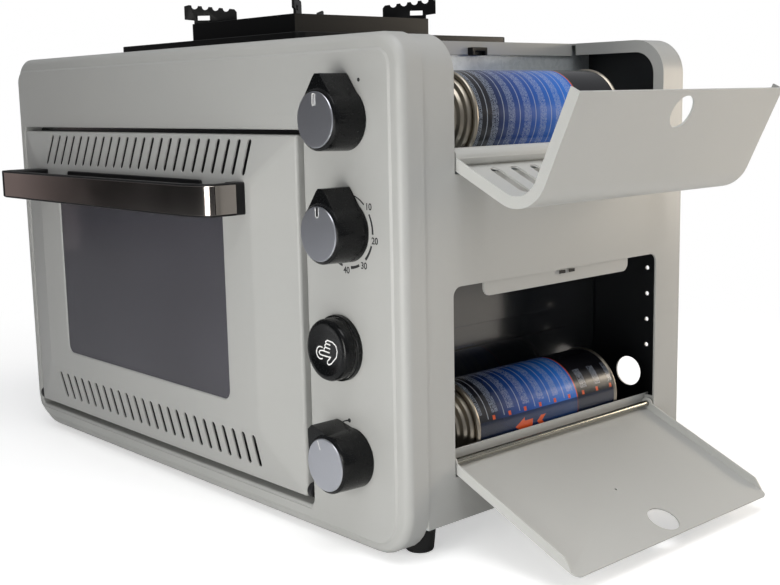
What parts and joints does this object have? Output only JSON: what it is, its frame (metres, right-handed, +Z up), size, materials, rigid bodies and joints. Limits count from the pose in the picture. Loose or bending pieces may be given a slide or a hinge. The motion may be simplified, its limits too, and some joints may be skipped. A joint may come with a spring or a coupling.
{
  "type": "portable gas oven with stove top",
  "caption": "Portable gas oven with a hinged glass door, turning controls, a stove top with pan support, and side bays for gas cartridges under open covers.",
  "frame": {"origin": "middle of the footprint on the floor, counted with both bay covers open", "axes": "+Z up, -Y towards the user in front of the door, +X towards the cartridge bays"},
  "size_m": [0.6441, 0.354, 0.3965],
  "materials": {
    "body_paint": "satin paint",
    "lid_paint": "satin paint",
    "enamel": "black enamel",
    "zinc": "zinc plated",
    "steel": "bright steel",
    "chrome": "polished",
    "knob_black": "gloss",
    "grip_black": "matt",
    "disc_metal": "brushed",
    "brass": "cast",
    "cast": "black",
    "rubber": "matt",
    "glass": "tinted",
    "lead": "insulated wire",
    "can_print": "printed steel",
    "can_metal": "bright"
  },
  "bodies": {
    "body": {"front_panel": "body_paint", "outer_casing": "body_paint", "back_panel": "body_paint", "base_plate": "zinc", "foot_front_left": "rubber", "foot_front_right": "rubber", "foot_back_left": "rubber", "foot_back_right": "rubber", "oven_liner": "enamel", "bay_divider": "zinc", "bay_shelf": "zinc", "lower_cradle": "zinc", "lower_sill": "body_paint", "hinge_bracket_left": "grip_black", "hinge_bracket_right": "grip_black", "upper_catch": "grip_black", "lower_catch": "grip_black", "stove_valve": "brass", "oven_valve": "brass", "timer_unit": "grip_black", "safety_valve": "brass", "upper_regulator": "zinc", "lower_regulator": "zinc", "stove_pipe": "steel", "oven_pipe": "steel", "oven_burner": "steel", "burner_deflector": "enamel", "stove_burner": "zinc", "burner_cap": "cast", "button_bezel": "knob_black", "igniter_lead": "lead"},
    "oven_door": {"door_panel": "body_paint", "door_glass": "glass", "door_liner": "enamel", "handle_band": "chrome", "handle_grip": "grip_black", "handle_guard": "grip_black", "door_pins": "steel"},
    "stove_control": {"stove_knob": "knob_black", "stove_disc": "disc_metal", "stove_shaft": "steel"},
    "timer_control": {"timer_knob": "knob_black", "timer_disc": "disc_metal", "timer_shaft": "steel"},
    "oven_control": {"oven_knob": "knob_black", "oven_disc": "disc_metal", "oven_shaft": "steel"},
    "button": {"safety_button": "knob_black"},
    "lid": {"upper_lid": "lid_paint", "upper_lid_pin": "steel"},
    "side_door": {"bay_door": "lid_paint", "bay_door_rod": "chrome"},
    "tray": {"drip_tray": "enamel"},
    "support": {"pan_support": "enamel"},
    "rack": {"wire_rack": "steel"},
    "upper_cartridge": {"upper_can": "can_print", "upper_can_valve": "can_metal"},
    "lower_cartridge": {"lower_can": "can_print", "lower_can_valve": "can_metal"}
  },
  "joints": [
    {"name": "oven_door_hinge", "type": "hinge", "parent": "body", "child": "oven_door", "pos_m": [-0.09868, -0.1238, 0.032], "axis": [1, 0, 0], "range_deg": [0, 80]},
    {"name": "stove_knob_turn", "type": "hinge", "parent": "body", "child": "stove_control", "pos_m": [0.16382, -0.127, 0.299], "axis": [0, -1, 0], "range_deg": [0, 130]},
    {"name": "timer_knob_turn", "type": "hinge", "parent": "body", "child": "timer_control", "pos_m": [0.16382, -0.127, 0.225], "axis": [0, 1, 0], "range_deg": [0, 300]},
    {"name": "oven_knob_turn", "type": "hinge", "parent": "body", "child": "oven_control", "pos_m": [0.16382, -0.127, 0.0685], "axis": [0, -1, 0], "range_deg": [-40, 90]},
    {"name": "safety_button_press", "type": "slide", "parent": "body", "child": "button", "axis": [0, 1, 0], "range_m": [0, 0.005], "stiffness_N_per_m": 1500, "springref_m": -0.002},
    {"name": "upper_lid_hinge", "type": "hinge", "parent": "body", "child": "lid", "pos_m": [0.21002, 0.036, 0.2725], "axis": [0, -1, 0], "range_deg": [0, 115.5]},
    {"name": "bay_door_hinge", "type": "hinge", "parent": "body", "child": "side_door", "pos_m": [0.21102, 0.0315, 0.064], "axis": [0, -1, 0], "range_deg": [0, 113]},
    {"name": "drip_tray_lift", "type": "slide", "parent": "body", "child": "tray", "axis": [0, 0, 1], "range_m": [0, 0.06]},
    {"name": "pan_support_lift", "type": "slide", "parent": "tray", "child": "support", "axis": [0, 0, 1], "range_m": [0, 0.08]},
    {"name": "rack_slide", "type": "slide", "parent": "body", "child": "rack", "axis": [0, -1, 0], "range_m": [0, 0.15]},
    {"name": "upper_cartridge_release", "type": "slide", "parent": "body", "child": "upper_cartridge", "axis": [0, 1, 0], "range_m": [0, 0.012]},
    {"name": "lower_cartridge_release", "type": "slide", "parent": "body", "child": "lower_cartridge", "axis": [0, 1, 0], "range_m": [0, 0.012]}
  ],
  "couplings": [
    {"joint": "rack_slide", "follows": "oven_door_hinge", "m_per_rad": 0.1}
  ]
}
